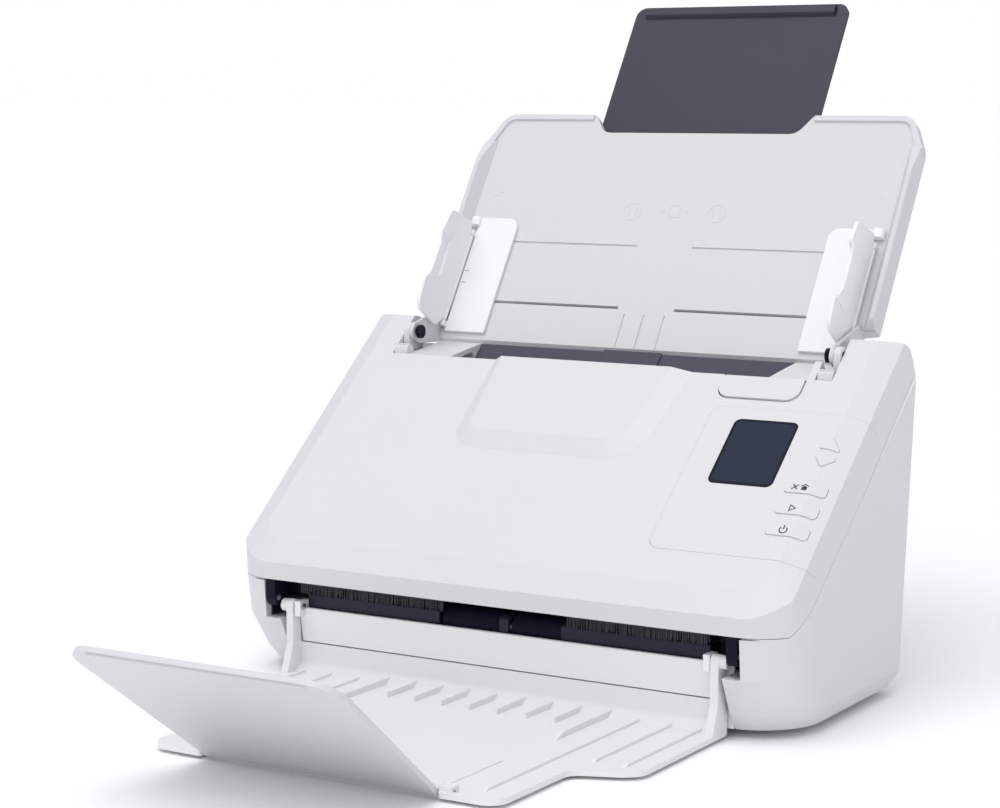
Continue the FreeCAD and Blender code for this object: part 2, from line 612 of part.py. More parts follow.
def cover_fittings():
    ring = skin(0.08, size.panel_left) + list(reversed(skin(-size.panel_skin, size.panel_left)))
    sheet_body = prism(slope, "y", ring, "panel_low", "panel_high - panel_low")
    face = prism(slope, "z", panel_outline(0), "-10", "40")
    node("control_panel", cut(common(sheet_body, face), display_window(0.1), *key_windows(0.14)))
    node("display_glass", prism(slope, "z", display_outline(0), "cover_height - 1.5", "1.65"))
    node("panel_board", fuse(block(slope, (84, -4, 9.4), ("display_width + 5", "display_height + 5", "5")),
                             block(slope, (84, -36, 8.2), ("60", "77.4", "1.2"))))
    lower = [(-62, 7.5, 14), (44, 7.5, 22), (52.5, 68.2), (-62, 68.2)]
    upper = [(-54, 17.5, 7), (34, 17.5, 14), (41, 68.2), (-57.5, 68.2)]
    rings = []
    for corners, height in ((lower, size.cover_height + 0.03), (upper, size.cover_height + size.badge_rise)):
        wire = Part.Wire(Part.__sortEdges__([piece.toShape() for piece in outline(corners)]))
        wire.Placement = slope.multiply(Placement(Vector(0, 0, height), Rotation()))
        rings.append(wire)
    badge = doc.addObject("Part::Feature", helper_name("badge"))
    badge.Shape = Part.makeLoft(rings, True, True)
    node("badge_plate", badge)
    arms = []
    for _, sign in both_sides:
        start = str(side_start(sign, 125, 5.4))
        arm = prism(level, "x", [(-67.6, 36.2, 5), (-57.2, 36.2, 5), (-57.2, 50), (-58, 58), (-65, 58),
                                 (-67.6, 50)], start, "5.4")
        bore = rod(level, (side_start(sign, 124, 8), size.cover_pivot_y, size.cover_pivot_z), "x",
                   "pin_radius + running_fit", "8")
        arms.append(cut(arm, bore))
    node("cover_hinges", fuse(*arms))
    for side, start, length in (("left", -115, 87), ("right", 38, 77)):
        bar = block(level, (start, -61.6, 46.6), (str(length), "2", "3.5"))
        hairs = block(level, (start + 1, -61.1, 43.4), (str(length - 2), "0.9", "3.3"))
        node(f"exit_brush_{side}", fuse(bar, hairs))


def keys():
    for index, name in enumerate(key_names):
        low = size.key_low + index * size.key_pitch
        side_view = prism(slope, "y", key_profile(size.key_lift, 0), str(low - 1), "key_height + 2")
        node(name, common(side_view, prism(slope, "z", key_outline(index, 0), "9", "12")))
    for name in arrow_names:
        pillar = prism(slope, "z", spread(arrows[name], 0), "10.6", "10")
        cap = prism(slope, "y", [(130, size.cover_height + 0.6), (size.cover_half, size.cover_height + 0.6),
                                 (148, 15.05), (148, 9), (130, 9)], "0", "45")
        node(name, common(pillar, cap))


def release_latch():
    low, high = size.latch_low, size.latch_low + size.latch_height
    left, right = size.latch_left, size.latch_left + size.latch_width
    plate = prism(slope, "z", [(left, low, 6.5), (right, low, 6.5), (right, high, 1.5), (left, high, 1.5)],
                  "cover_height - 1.9", "2.7")
    barrel = rod(slope, (left, 65.2, 13.2), "x", "2", "latch_width")
    web = block(slope, (left, 63.6, 13.2), ("latch_width", "3.2", "cover_height - 14.4"))
    trunnion = rod(slope, (67.2, 65.2, 13.2), "x", "1", "latch_width + 6.4")
    return node("release_latch", fuse(plate, barrel, web, trunnion))


# exit tray
fin_pitch = 15.4


def exit_tray():
    half, ear = size.tray_half, size.ear_half
    right = [(61.9, -200.6), (61.9, -208, 1.5), (ear, -207.4, 9), (ear + 0.6, -150, 8),
             (half - 8, -141.6, 8), (half, -136, 9), (half, -56)]
    floor = prism(level, "z", mirrored(right), "tray_floor", "tray_skin")
    wall = prism(level, "x", [(-56, 1.8, 1.5), (-55.3, 17.5), (-57.5, 18.1), (-58, 7.5, 3), (-64, 4.2),
                              (-64, 1.8)], "-arm_place - 0.1", "2*arm_place + 0.2")
    pieces = [floor, wall]
    for _, sign in both_sides:
        start = str(side_start(sign, size.arm_place, size.arm_width))
        y, z = size.tray_pivot_y, size.tray_pivot_z
        pieces.append(prism(level, "x", [(y - 3.4, z + 3.4, 3.3), (y - 3.4, 18), (-70, 4), (-70, 1.8),
                                         (-55.4, 1.8), (-55.4, 12), (y + 3.4, 19), (y + 3.4, z + 3.4, 3.3)],
                            start, "arm_width"))
        pieces.append(rod(level, (side_start(sign, size.arm_place + size.arm_width, 3.6), y, z), "x",
                          "3.2", "3.6"))
        for place, front in ((78.3, -198), (94.9, -135.5), (110.3, -135.5)):
            pieces.append(prism(level, "x", [(-57.6, 4), (-57.6, 5.4), (front + 3, 5.4), (front, 4)],
                                str(side_start(sign, place - 0.8, 1.6)), "1.6"))
        pieces.append(prism(level, "x", [(-57.6, 4), (-57.6, 7), (-104, 6.8), (-112.6, 4)],
                            str(side_start(sign, 61.1, 1.8)), "1.8"))
        pieces.append(block(level, (side_start(sign, 57, 3.6), -196, 4), ("3.6", "43", "0.7")))
    for step in range(-3, 4):
        pieces.append(prism(level, "x", [(-57.6, 4), (-57.6, 7), (-85.4, 6.8), (-86, 4)],
                            str(step * fin_pitch - 0.9), "1.8"))
    bores = [rod(level, (side_start(sign, 111, 20), size.tray_pivot_y, size.tray_pivot_z), "x",
                 "pin_radius + running_fit", "20") for _, sign in both_sides]
    pin_bore = rod(level, (-70, size.stopper_y, size.stopper_z), "x", "0.92", "140")
    ears = [block(level, (side_start(sign, 61.9, 6), -206.4, 1.6), ("6", "6", "4.8"))
            for _, sign in both_sides]
    node("exit_tray", cut(fuse(*pieces, *ears), *bores, pin_bore))
    pads = [rod(level, (sign * 80, -192, 0), "z", "5", "tray_floor - 0.02") for _, sign in both_sides]
    node("tray_pads", fuse(*pads))
    node("stopper_pin", rod(level, (-67, size.stopper_y, size.stopper_z), "x", "0.9", "134"))


def tray_stopper():
    half, length = size.stopper_half, size.stopper_length
    plate = prism(flip, "z", mirrored([(half, 0), (half + 8, length, 14)]), "stopper_rise",
                  "stopper_skin")
    barrel = rod(flip, (-half, 0, 0), "x", "1.8", "2*stopper_half")
    rim = prism(flip, "y", [(-half + 6, size.stopper_rise), (half - 6, size.stopper_rise),
                               (half - 6, 4.4), (-half + 6, 4.4)], "stopper_length - 3", "1.6")
    bore = rod(flip, (-half - 1, 0, 0), "x", "0.9 + running_fit", "2*stopper_half + 2")
    return node("tray_stopper", cut(fuse(plate, barrel, rim), bore))


# paper chute
# A point of the chute's side view, from the room's frame.
chute_pivot = leaf.inverse().multVec(Vector(0, size.chute_pivot_y, size.chute_pivot_z))


def paper_chute():
    half, low, high = size.chute_half, size.chute_low, size.chute_high
    right = [(118.4, low), (118.4, -8), (half, -6), (half, 99, 16), (half - 9, high, 9),
             (64.8, high, 1), (57.5, 107.2, 8)]
    plate = prism(leaf, "z", mirrored(right), "-chute_skin", "chute_skin")
    pieces = [plate]
    lip = [(66, high - 3), (half - 10.8, high - 3, 7), (half - 3.6, 98, 12), (half - 3.6, 90),
           (half, 90), (half, 99, 16), (half - 9, high, 9), (66, high)]
    cuts = []
    for _, sign in both_sides:
        rim_side = [(-6, -0.5), (101, -0.5), (101, 1.4, 2), (86, size.rim_rise, 30),
                    (-2, size.rim_rise, 4), (-6, 2)]
        rim_section = [(half - 6.8, -0.5), (half, -0.5), (half, size.rim_rise, 1.2),
                       (half - 2.8, size.rim_rise, 1), (half - 6.8, 0.2)]
        rim_section = rim_section if sign > 0 else [(-corner[0],) + tuple(corner[1:])
                                                    for corner in reversed(rim_section)]
        rim_block = prism(leaf, "x", rim_side, str(side_start(sign, half - 7, 7)), "7")
        pieces.append(common(rim_block, prism(leaf, "y", rim_section, "-6", "110")))
        lip_side = lip if sign > 0 else [(-corner[0],) + tuple(corner[1:]) for corner in reversed(lip)]
        pieces.append(prism(leaf, "z", lip_side, "-0.5", "1.7"))
        cheek = [(low + 0.5, -5.5), (-4, -5.5), (-4, 2), (chute_pivot.y + 4.6, chute_pivot.z + 2, 6),
                 (chute_pivot.y + 3, chute_pivot.z + 4.6, 3), (chute_pivot.y - 4.6, chute_pivot.z + 4.6, 4),
                 (chute_pivot.y - 4.6, chute_pivot.z - 4.6, 4)]
        pieces.append(prism(leaf, "x", cheek, str(side_start(sign, 120.3, 2.1)), "2.1"))
        pieces.append(block(leaf, (side_start(sign, 118, 4.2), low + 0.5, -5.5), ("4.2", "18", "5")))
        cuts.append(block(leaf, (side_start(sign, 16.4, 88), -0.8, -10), ("88", "1.6", "20")))
        cuts.append(block(leaf, (side_start(sign, 16.4, 78), 36.6, -0.7), ("78", "1.1", "3")))
        cuts.append(rod(leaf, (side_start(sign, 117, 8), chute_pivot.y, chute_pivot.z), "x",
                        "2.4 + running_fit", "8"))
    for place in (-11.5, 0, 12):
        cuts.append(block(leaf, (place - 0.4, low - 1, -0.5), ("0.8", "21", "3")))
    node("paper_chute", cut(fuse(*pieces), *cuts))
    back = [block(leaf, (-80, -12, -12.2), ("160", "116", "2"))]
    for _, sign in both_sides:
        back.append(block(leaf, (side_start(sign, 66, 5), 12, -10.3), ("5", "92", "4.2")))
    node("chute_back", fuse(*back))
    screws = [rod(leaf, (x, along, -13.4), "z", "2.6", "1.2") for x in (-74, 74) for along in (0, 92)]
    node("chute_screws", fuse(*screws))


def chute_extension():
    half = size.leaf_half
    top = size.leaf_low + size.leaf_length
    right = [(half, size.leaf_low), (half, top, 6)]
    plate = prism(leaf, "z", mirrored(right), "-6.6 - leaf_skin", "leaf_skin")
    lip = prism(leaf, "x", [(top - 8, -6.8), (top - 1, -6.8), (top - 2, -4.4, 1), (top - 6.6, -4.4, 1)],
                "-leaf_half + 7", "2*leaf_half - 14")
    return node("chute_extension", fuse(plate, lip))


fence_height = 3.2
fence_place = 118.5


def paper_guides():
    for side, sign in both_sides:
        inner, outer = size.guide_inner, size.guide_outer
        corners = [(sign * inner, -20), (sign * outer, -20), (sign * outer, 50.5), (sign * inner, 50.5, 6)]
        plate = prism(leaf, "z", corners if sign > 0 else corners[::-1], "0.3", "guide_skin")
        pieces = [plate, block(leaf, (side_start(sign, 98, 4), -0.5, -9), ("4", "1", "10"))]
        rack_low = 4.4 if sign > 0 else -7
        pieces.append(block(leaf, (side_start(sign, 12, 90), rack_low, -9), ("90", "2.6", "2.5")))
        joiner = -0.5 if sign > 0 else -7
        pieces.append(block(leaf, (side_start(sign, 98, 4), joiner, -9), ("4", "7.5", "2.5")))
        for along in (-17.6, 38.4):
            pieces.append(rod(leaf, (sign * fence_place, along, fence_height), "y", "1.5", "3.2"))
            pieces.append(block(leaf, (side_start(sign, 115.6, 2.9), along, 0.9), ("2.9", "3.2", "1.2")))
            reach = along + 2 if along < 0 else along - 2.8
            pieces.append(rod(leaf, (sign * fence_place, reach, fence_height), "y", "0.8", "4"))
        knuckle = [(115.6, 0.3), (122.2, 0.3), (122.2, 3.6, 2.6), (115.6, 4.6, 2)]
        knuckle = knuckle if sign > 0 else [(-corner[0],) + tuple(corner[1:])
                                            for corner in reversed(knuckle)]
        pieces.append(prism(leaf, "y", knuckle, "45.2", "5"))
        node(f"guide_{side}", fuse(*pieces))
        profile = [(-14, 2.8), (37.9, 2.8), (37.9, 5.6), (44.6, 6.6, 1), (40.5, 28, 3), (27.5, 30.3, 2), (24, 20.7, 1),
                   (4, 19.8, 2), (-3.6, 32.2, 3), (-20.5, 30, 5), (-21.2, 9.5, 4), (-14, 5)]
        fence = prism(leaf, "x", profile, str(side_start(sign, fence_place - 0.9, 1.8)), "fence_skin")
        web = prism(leaf, "x", [(-6, 16), (30, 16), (28.6, 29.2), (21, 26.6, 8), (3, 26.8, 8),
                                (-5, 31.4)], str(side_start(sign, fence_place + 0.5, 1)), "1")
        barrel = rod(leaf, (sign * fence_place, -14, fence_height), "y", "1.5", "51.9")
        bore = rod(leaf, (sign * fence_place, -15, fence_height), "y", "0.85", "54")
        node(f"fence_{side}", cut(fuse(fence, web, barrel), bore))
    teeth = [(radius * math.cos(turn), radius * math.sin(turn))
             for tooth in range(12)
             for turn, radius in (((tooth - 0.3) * math.pi / 6, 3.0), ((tooth - 0.12) * math.pi / 6, 3.9),
                                  ((tooth + 0.12) * math.pi / 6, 3.9), ((tooth + 0.3) * math.pi / 6, 3.0))]
    pinion = cut(prism(leaf, "z", teeth, "-9", "2.6"), rod(leaf, (0, 0, -10), "z", "1.2", "5"))
    node("guide_pinion", pinion)


base_shell()
front_panel()
rear_details()
entry_pieces()
paper_decks()
scan_units()
lower_fixtures()
drive()
cover_rollers()
front_cover()
cover_fittings()
keys()
release_latch()
exit_tray()
tray_stopper()
paper_chute()
chute_extension()
paper_guides()

doc.recompute()
for item in doc.Objects:
    if "Invalid" in item.State or "Error" in item.State:
        raise RuntimeError(f"{item.Name} failed: {item.State}")
for label, piece in nodes.items():
    if piece.Shape.isNull() or not piece.Shape.isValid():
        raise RuntimeError(f"{label} has a bad shape")

os.makedirs("parts", exist_ok=True)
for label, piece in nodes.items():
    piece.Shape.exportStep(f"parts/{label}.step")
    print(label, len(piece.Shape.Solids), round(piece.Shape.Volume))
print("nodes", len(nodes))
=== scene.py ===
import bpy
import bmesh
import json
import math
from mathutils import Matrix, Vector


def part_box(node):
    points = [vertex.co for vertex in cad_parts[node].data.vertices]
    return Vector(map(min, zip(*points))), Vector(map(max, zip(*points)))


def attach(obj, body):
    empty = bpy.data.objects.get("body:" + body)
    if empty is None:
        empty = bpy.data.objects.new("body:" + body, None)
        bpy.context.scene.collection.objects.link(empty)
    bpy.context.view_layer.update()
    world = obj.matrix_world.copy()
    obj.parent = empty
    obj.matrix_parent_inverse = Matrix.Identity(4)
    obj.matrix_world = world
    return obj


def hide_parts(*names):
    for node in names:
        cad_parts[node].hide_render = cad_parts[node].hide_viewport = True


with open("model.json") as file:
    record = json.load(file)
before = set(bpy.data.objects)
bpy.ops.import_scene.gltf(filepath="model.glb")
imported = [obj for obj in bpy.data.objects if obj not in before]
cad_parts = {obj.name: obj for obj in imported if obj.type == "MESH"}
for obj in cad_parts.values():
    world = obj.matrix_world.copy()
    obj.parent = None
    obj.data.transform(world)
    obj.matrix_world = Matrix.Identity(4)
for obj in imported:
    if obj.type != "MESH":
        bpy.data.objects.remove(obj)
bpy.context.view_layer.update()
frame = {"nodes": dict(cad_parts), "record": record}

nodes = frame["nodes"]
print("frame loaded:", len(nodes), "nodes")

# Camera: place in metres, angles in degrees
cameraView = {"place": (0.5961, -1.0331, 0.2886), "turn": 31.40, "tilt": 7.12, "lens": 87.96, "sensor": 36.0,
              "farthest": 200}


def makeCamera():
    turn = math.radians(cameraView["turn"])
    tilt = math.radians(cameraView["tilt"])
    back = Vector((math.sin(turn) * math.cos(tilt), -math.cos(turn) * math.cos(tilt), math.sin(tilt)))
    right = Vector((math.cos(turn), math.sin(turn), 0))
    up = back.cross(right)
    data = bpy.data.cameras.new("studioCamera")
    data.lens = cameraView["lens"]
    data.sensor_width = cameraView["sensor"]
    data.clip_end = cameraView["farthest"]
    camera = bpy.data.objects.new("studioCamera", data)
    bpy.context.scene.collection.objects.link(camera)
    turned = Matrix((right, up, back)).transposed().to_4x4()
    camera.matrix_world = Matrix.Translation(cameraView["place"]) @ turned
    bpy.context.scene.camera = camera


makeCamera()

# Studio: pale floor, soft light from a room that is brighter overhead
studio = {
    "floorSize": 400.0, "floorColour": (0.99, 0.99, 0.99, 1), "floorRoughness": 0.9,
    "roomColour": (0.95, 0.97, 1.0, 1), "roomLow": 0.42, "roomHigh": 0.80,
    "backdropColour": (1, 1, 1, 1), "backdropStrength": 1.0,
    "suns": [
        # name, direction towards the light, strength, angle, colour
        ("keySoftbox", (-0.10, -0.30, 0.93), 1.22, 50, (1.0, 0.99, 0.975)),
        ("frontFill", (0.40, -0.91, 0.10), 0.62, 60, (0.97, 0.98, 1.0)),
    ],
}


def makeStudio():
    scene = bpy.context.scene
    scene.view_settings.view_transform = "Standard"
    world = bpy.data.worlds.new("softRoom")
    world.use_nodes = True
    tree = world.node_tree
    room = tree.nodes["Background"]
    room.inputs["Color"].default_value = studio["roomColour"]
    sky = tree.nodes.new("ShaderNodeTexCoord")
    upward = tree.nodes.new("ShaderNodeSeparateXYZ")
    brighten = tree.nodes.new("ShaderNodeMapRange")
    brighten.inputs["To Min"].default_value = studio["roomLow"]
    brighten.inputs["To Max"].default_value = studio["roomHigh"]
    tree.links.new(sky.outputs["Generated"], upward.inputs[0])
    tree.links.new(upward.outputs["Z"], brighten.inputs["Value"])
    tree.links.new(brighten.outputs[0], room.inputs["Strength"])
    backdrop = tree.nodes.new("ShaderNodeBackground")
    backdrop.inputs["Color"].default_value = studio["backdropColour"]
    backdrop.inputs["Strength"].default_value = studio["backdropStrength"]
    seen = tree.nodes.new("ShaderNodeLightPath")
    either = tree.nodes.new("ShaderNodeMixShader")
    tree.links.new(seen.outputs["Is Camera Ray"], either.inputs[0])
    tree.links.new(room.outputs[0], either.inputs[1])
    tree.links.new(backdrop.outputs[0], either.inputs[2])
    tree.links.new(either.outputs[0], tree.nodes["World Output"].inputs["Surface"])
    scene.world = world
    half = studio["floorSize"] / 2
    mesh = bpy.data.meshes.new("studioFloor")
    corners = [(-half, -half, 0), (half, -half, 0), (half, half, 0), (-half, half, 0)]
    mesh.from_pydata(corners, [], [(0, 1, 2, 3)])
    floor = bpy.data.objects.new("studioFloor", mesh)
    scene.collection.objects.link(floor)
    paper = bpy.data.materials.new("floorPaper")
    paper.use_nodes = True
    shader = paper.node_tree.nodes["Principled BSDF"]
    shader.inputs["Base Color"].default_value = studio["floorColour"]
    shader.inputs["Roughness"].default_value = studio["floorRoughness"]
    mesh.materials.append(paper)
    for name, toward, strength, spread, colour in studio["suns"]:
        light = bpy.data.lights.new(name, "SUN")
        light.energy = strength
        light.angle = math.radians(spread)
        light.color = colour
        lamp = bpy.data.objects.new(name, light)
        lamp.rotation_euler = (-Vector(toward)).to_track_quat("-Z", "Y").to_euler()
        scene.collection.objects.link(lamp)


makeStudio()
print("studio ready")


# Shared material effects
def newGroup(name, inputs, outputs):
    group = bpy.data.node_groups.new(name, "ShaderNodeTree")
    for label, kind, value in inputs:
        socket = group.interface.new_socket(label, in_out="INPUT", socket_type=kind)
        socket.default_value = value
    for label, kind in outputs:
        group.interface.new_socket(label, in_out="OUTPUT", socket_type=kind)
    start = group.nodes.new("NodeGroupInput")
    end = group.nodes.new("NodeGroupOutput")
    return group, start, end


# Fine spark-eroded grain of moulded plastic, with slow drifts of shade and gloss.
grainShape = {"fineDetail": 2.0, "driftScale": 14.0, "driftDetail": 3.0, "glossDrift": 0.12, "depth": 0.0002}


def makeGrainGroup():
    group, start, end = newGroup(
        "mouldGrain",
        [("Colour", "NodeSocketColor", (0.8, 0.8, 0.8, 1)), ("Shade", "NodeSocketFloat", 0.03),
         ("Roughness", "NodeSocketFloat", 0.45), ("Grain", "NodeSocketFloat", 3200.0)],
        [("Colour", "NodeSocketColor"), ("Roughness", "NodeSocketFloat"), ("Height", "NodeSocketFloat")])
    links = group.links
    place = group.nodes.new("ShaderNodeTexCoord")
    fine = group.nodes.new("ShaderNodeTexNoise")
    fine.inputs["Detail"].default_value = grainShape["fineDetail"]
    drift = group.nodes.new("ShaderNodeTexNoise")
    drift.inputs["Scale"].default_value = grainShape["driftScale"]
    drift.inputs["Detail"].default_value = grainShape["driftDetail"]
    links.new(place.outputs["Object"], fine.inputs["Vector"])
    links.new(place.outputs["Object"], drift.inputs["Vector"])
    links.new(start.outputs["Grain"], fine.inputs["Scale"])
    centred = group.nodes.new("ShaderNodeMath")
    centred.operation = "SUBTRACT"
    centred.inputs[1].default_value = 0.5
    links.new(drift.outputs["Fac"], centred.inputs[0])
    shade = group.nodes.new("ShaderNodeMath")
    shade.operation = "MULTIPLY_ADD"
    shade.inputs[2].default_value = 1.0
    links.new(centred.outputs[0], shade.inputs[0])
    links.new(start.outputs["Shade"], shade.inputs[1])
    tint = group.nodes.new("ShaderNodeVectorMath")
    tint.operation = "SCALE"
    links.new(start.outputs["Colour"], tint.inputs[0])
    links.new(shade.outputs[0], tint.inputs["Scale"])
    links.new(tint.outputs[0], end.inputs["Colour"])
    gloss = group.nodes.new("ShaderNodeMath")
    gloss.operation = "MULTIPLY_ADD"
    gloss.inputs[1].default_value = grainShape["glossDrift"]
    links.new(centred.outputs[0], gloss.inputs[0])
    links.new(start.outputs["Roughness"], gloss.inputs[2])
    links.new(gloss.outputs[0], end.inputs["Roughness"])
    links.new(fine.outputs["Fac"], end.inputs["Height"])
    return group


grainGroup = makeGrainGroup()

# Colour, gloss and grain of each finish; what is not named is as in commonFinish
commonFinish = {"roughness": 0.45, "shade": 0.02, "grain": 3200, "bump": 0.05, "metallic": 0.0, "specular": 0.5}
finishes = {
    "coverWhite": {"colour": (0.690, 0.696, 0.714), "roughness": 0.42},
    "bodyWhite": {"colour": (0.705, 0.712, 0.73)},
    "chuteWhite": {"colour": (0.655, 0.66, 0.68), "roughness": 0.5, "grain": 2600, "bump": 0.06},
    # trayWhitePaintedLight and guideWhite are the body's white plastic painted lighter: painted light that
    # brightens the tray, front panel, guides and fences where they fall in shade.
    "trayWhitePaintedLight": {"colour": (0.81, 0.815, 0.83)},
    "guideWhite": {"colour": (0.86, 0.865, 0.88)},
    "slotBlack": {"colour": (0.006, 0.007, 0.018), "shade": 0.1, "grain": 2200, "bump": 0.08, "specular": 0.12},
    "pathGrey": {"colour": (0.015, 0.017, 0.036), "roughness": 0.42, "shade": 0.1, "grain": 2200, "bump": 0.08,
                 "specular": 0.32},
    "throatGrey": {"colour": (0.052, 0.057, 0.084), "roughness": 0.5, "shade": 0.08, "grain": 2200,
                   "bump": 0.08, "specular": 0.32},
    "smokedSheet": {"colour": (0.030, 0.033, 0.052), "roughness": 0.34, "shade": 0.05, "grain": 1800,
                    "bump": 0.03, "specular": 0.3},
    "screenGlass": {"colour": (0.004, 0.009, 0.03), "roughness": 0.1, "shade": 0.05, "grain": 900, "bump": 0.0},
    "rollerRubber": {"colour": (0.006, 0.007, 0.022), "roughness": 0.62, "shade": 0.12, "grain": 1500,
                     "bump": 0.15, "specular": 0.16},
    "shaftSteel": {"colour": (0.5, 0.5, 0.52), "roughness": 0.3, "shade": 0.08, "grain": 1500, "bump": 0.03,
                   "metallic": 1.0},
    "gearNylon": {"colour": (0.6, 0.6, 0.58), "roughness": 0.5, "shade": 0.05, "grain": 1800},
    "boardGreen": {"colour": (0.02, 0.12, 0.05), "roughness": 0.4, "shade": 0.15, "grain": 500, "bump": 0.1},
    "footRubber": {"colour": (0.03, 0.03, 0.033), "roughness": 0.75, "shade": 0.1, "grain": 1600, "bump": 0.2},
    "keyInk": {"colour": (0.012, 0.013, 0.035), "roughness": 0.5, "shade": 0.05, "grain": 2600, "bump": 0.03},
    "screenFace": {"colour": (0.010, 0.017, 0.042), "roughness": 0.3, "shade": 0.25, "grain": 700, "bump": 0.0,
                   "specular": 0.16},
    "markGrey": {"colour": (0.30, 0.31, 0.34), "roughness": 0.5, "shade": 0.05, "grain": 2600, "bump": 0.03},
    "brushFibre": {"colour": (0.040, 0.045, 0.050), "roughness": 0.7, "shade": 0.3, "grain": 2600, "bump": 0.4},
}


def makeFinish(name):
    finish = {**commonFinish, **finishes[name]}
    material = bpy.data.materials.new(name)
    material.use_nodes = True
    tree = material.node_tree
    shader = tree.nodes["Principled BSDF"]
    grain = tree.nodes.new("ShaderNodeGroup")
    grain.node_tree = grainGroup
    grain.inputs["Colour"].default_value = (*finish["colour"], 1)
    grain.inputs["Shade"].default_value = finish["shade"]
    grain.inputs["Roughness"].default_value = finish["roughness"]
    grain.inputs["Grain"].default_value = finish["grain"]
    shader.inputs["Metallic"].default_value = finish["metallic"]
    shader.inputs["Specular IOR Level"].default_value = finish["specular"]
    tree.links.new(grain.outputs["Colour"], shader.inputs["Base Color"])
    tree.links.new(grain.outputs["Roughness"], shader.inputs["Roughness"])
    if finish["bump"]:
        bump = tree.nodes.new("ShaderNodeBump")
        bump.inputs["Strength"].default_value = finish["bump"]
        bump.inputs["Distance"].default_value = grainShape["depth"]
        tree.links.new(grain.outputs["Height"], bump.inputs["Height"])
        tree.links.new(bump.outputs["Normal"], shader.inputs["Normal"])
    return material


materials = {name: makeFinish(name) for name in finishes}

# The finish of each CAD piece; what is not named is bodyWhite
finishPieces = {
    "coverWhite": ("entry_ledges front_cover control_panel badge_plate release_latch tray_stopper "
                   "power_key start_key cancel_key up_key down_key"),
    "chuteWhite": "paper_chute",
    # The tray, front panel, guides and fences get the lighter whites, which carry painted light against their
    # shade.
    "trayWhitePaintedLight": "exit_tray",
    "guideWhite": "front_panel guide_left guide_right fence_left fence_right",
    "slotBlack": "rear_ports lower_scan_unit upper_scan_unit chute_pivots cover_hinges",
    "pathGrey": "lower_guide exit_guide upper_guide roller_holders",
    "throatGrey": "entry_throat",
    "smokedSheet": "chute_extension",
    "screenGlass": "lower_scan_glass upper_scan_glass display_glass",
    "rollerRubber": "feed_roller transport_roller exit_rollers separation_roller pinch_rollers exit_idlers",
    "shaftSteel": ("feed_shaft transport_shaft exit_shaft hinge_pins stopper_pin motor_body roller_brackets "
                   "chute_screws"),
    "gearNylon": "idler_gear motor_pinion guide_pinion",
    "boardGreen": "main_board panel_board",
    "footRubber": "rubber_feet drive_belt tray_pads",
    "brushFibre": "exit_brush_left exit_brush_right",
}
nodeFinish = {node: finish for finish, pieces in finishPieces.items() for node in pieces.split()}


def paint(piece, name):
    piece.data.materials.clear()
    piece.data.materials.append(materials[name])
    for face in piece.data.polygons:
        face.material_index = 0


def softenEdges(piece, width, segments=2, limit=28):
    bevel = piece.modifiers.new("edgeRounding", "BEVEL")
    bevel.width = width
    bevel.segments = segments
    bevel.limit_method = "ANGLE"
    bevel.angle_limit = math.radians(limit)
    bevel.harden_normals = False
    bevel.use_clamp_overlap = True


# Width in metres, segments, and the angle in degrees above which an edge is rounded
rounding = {"front_cover": (0.0014, 3, 12), "base_shell": (0.0009, 2, 30), "badge_plate": (0.003, 4, 12),
            "tray_stopper": (0.0008, 3, 30), "exit_tray": (0.0005, 2, 30), "paper_chute": (0.0007, 2, 25),
            "control_panel": (0.0003, 2, 12), "release_latch": (0.0007, 3, 30), "fence_left": (0.0006, 2, 30),
            "fence_right": (0.0006, 2, 30), "guide_left": (0.0005, 2, 30), "guide_right": (0.0005, 2, 30),
            "chute_extension": (0.0006, 2, 30), "front_panel": (0.0004, 2, 30), "chute_pivots": (0.0012, 3, 30),
            "entry_ledges": (0.0005, 2, 30), "entry_throat": (0.0006, 2, 20), "chute_posts": (0.0008, 2, 30)}
for name in ("power_key", "start_key", "cancel_key", "up_key", "down_key"):
    rounding[name] = (0.0004, 2, 20)
for name, piece in nodes.items():
    paint(piece, nodeFinish.get(name, "bodyWhite"))
    if name in rounding:
        softenEdges(piece, *rounding[name])
print("finishes:", len(materials))

# Axes of the slope, from the record: a key is pressed along -outward.
joints = {joint["name"]: joint for joint in frame["record"]["behaviour"]["joints"]}
outward = -Vector(joints["power_key_press"]["axis"])
sideways = Vector((1, 0, 0))
upslope = outward.cross(sideways)
leafUp = Vector(joints["extension_slide"]["axis"])
leafOut = sideways.cross(leafUp)


def centreOf(node):
    low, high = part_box(node)
    return (Vector(low) + Vector(high)) / 2


# Places on a flat face: x from the middle plane, then along the face and out of it, from a node's middle.
def faceFrame(node, along, out):
    middle = centreOf(node)
    middle.x = 0

    def place(x, run, lift):
        return middle + sideways * (x * 0.001) + along * (run * 0.001) + out * (lift * 0.001)
    return place


def makePiece(name, vertices, faces, finish, body, slotName, width=0.0):
    mesh = bpy.data.meshes.new(name)
    mesh.from_pydata([tuple(vertex) for vertex in vertices], [], faces)
    shape = bmesh.new()
    shape.from_mesh(mesh)
    bmesh.ops.recalc_face_normals(shape, faces=shape.faces)
    shape.to_mesh(mesh)
    shape.free()
    piece = bpy.data.objects.new(name, mesh)
    bpy.context.scene.collection.objects.link(piece)
    paint(piece, finish)
    if width:
        softenEdges(piece, width)
    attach(piece, body)
    return piece


# A flat print or plate: closed outlines (x, run) raised from low to high.
def raisedOutlines(place, loops, low, high):
    vertices, faces = [], []
    for loop in loops:
        start, count = len(vertices), len(loop)
        vertices += [place(x, run, low) for x, run in loop] + [place(x, run, high) for x, run in loop]
        faces.append(tuple(start + i for i in reversed(range(count))))
        faces.append(tuple(start + count + i for i in range(count)))
        for i in range(count):
            j = (i + 1) % count
            faces.append((start + i, start + j, start + count + j, start + count + i))
    return vertices, faces


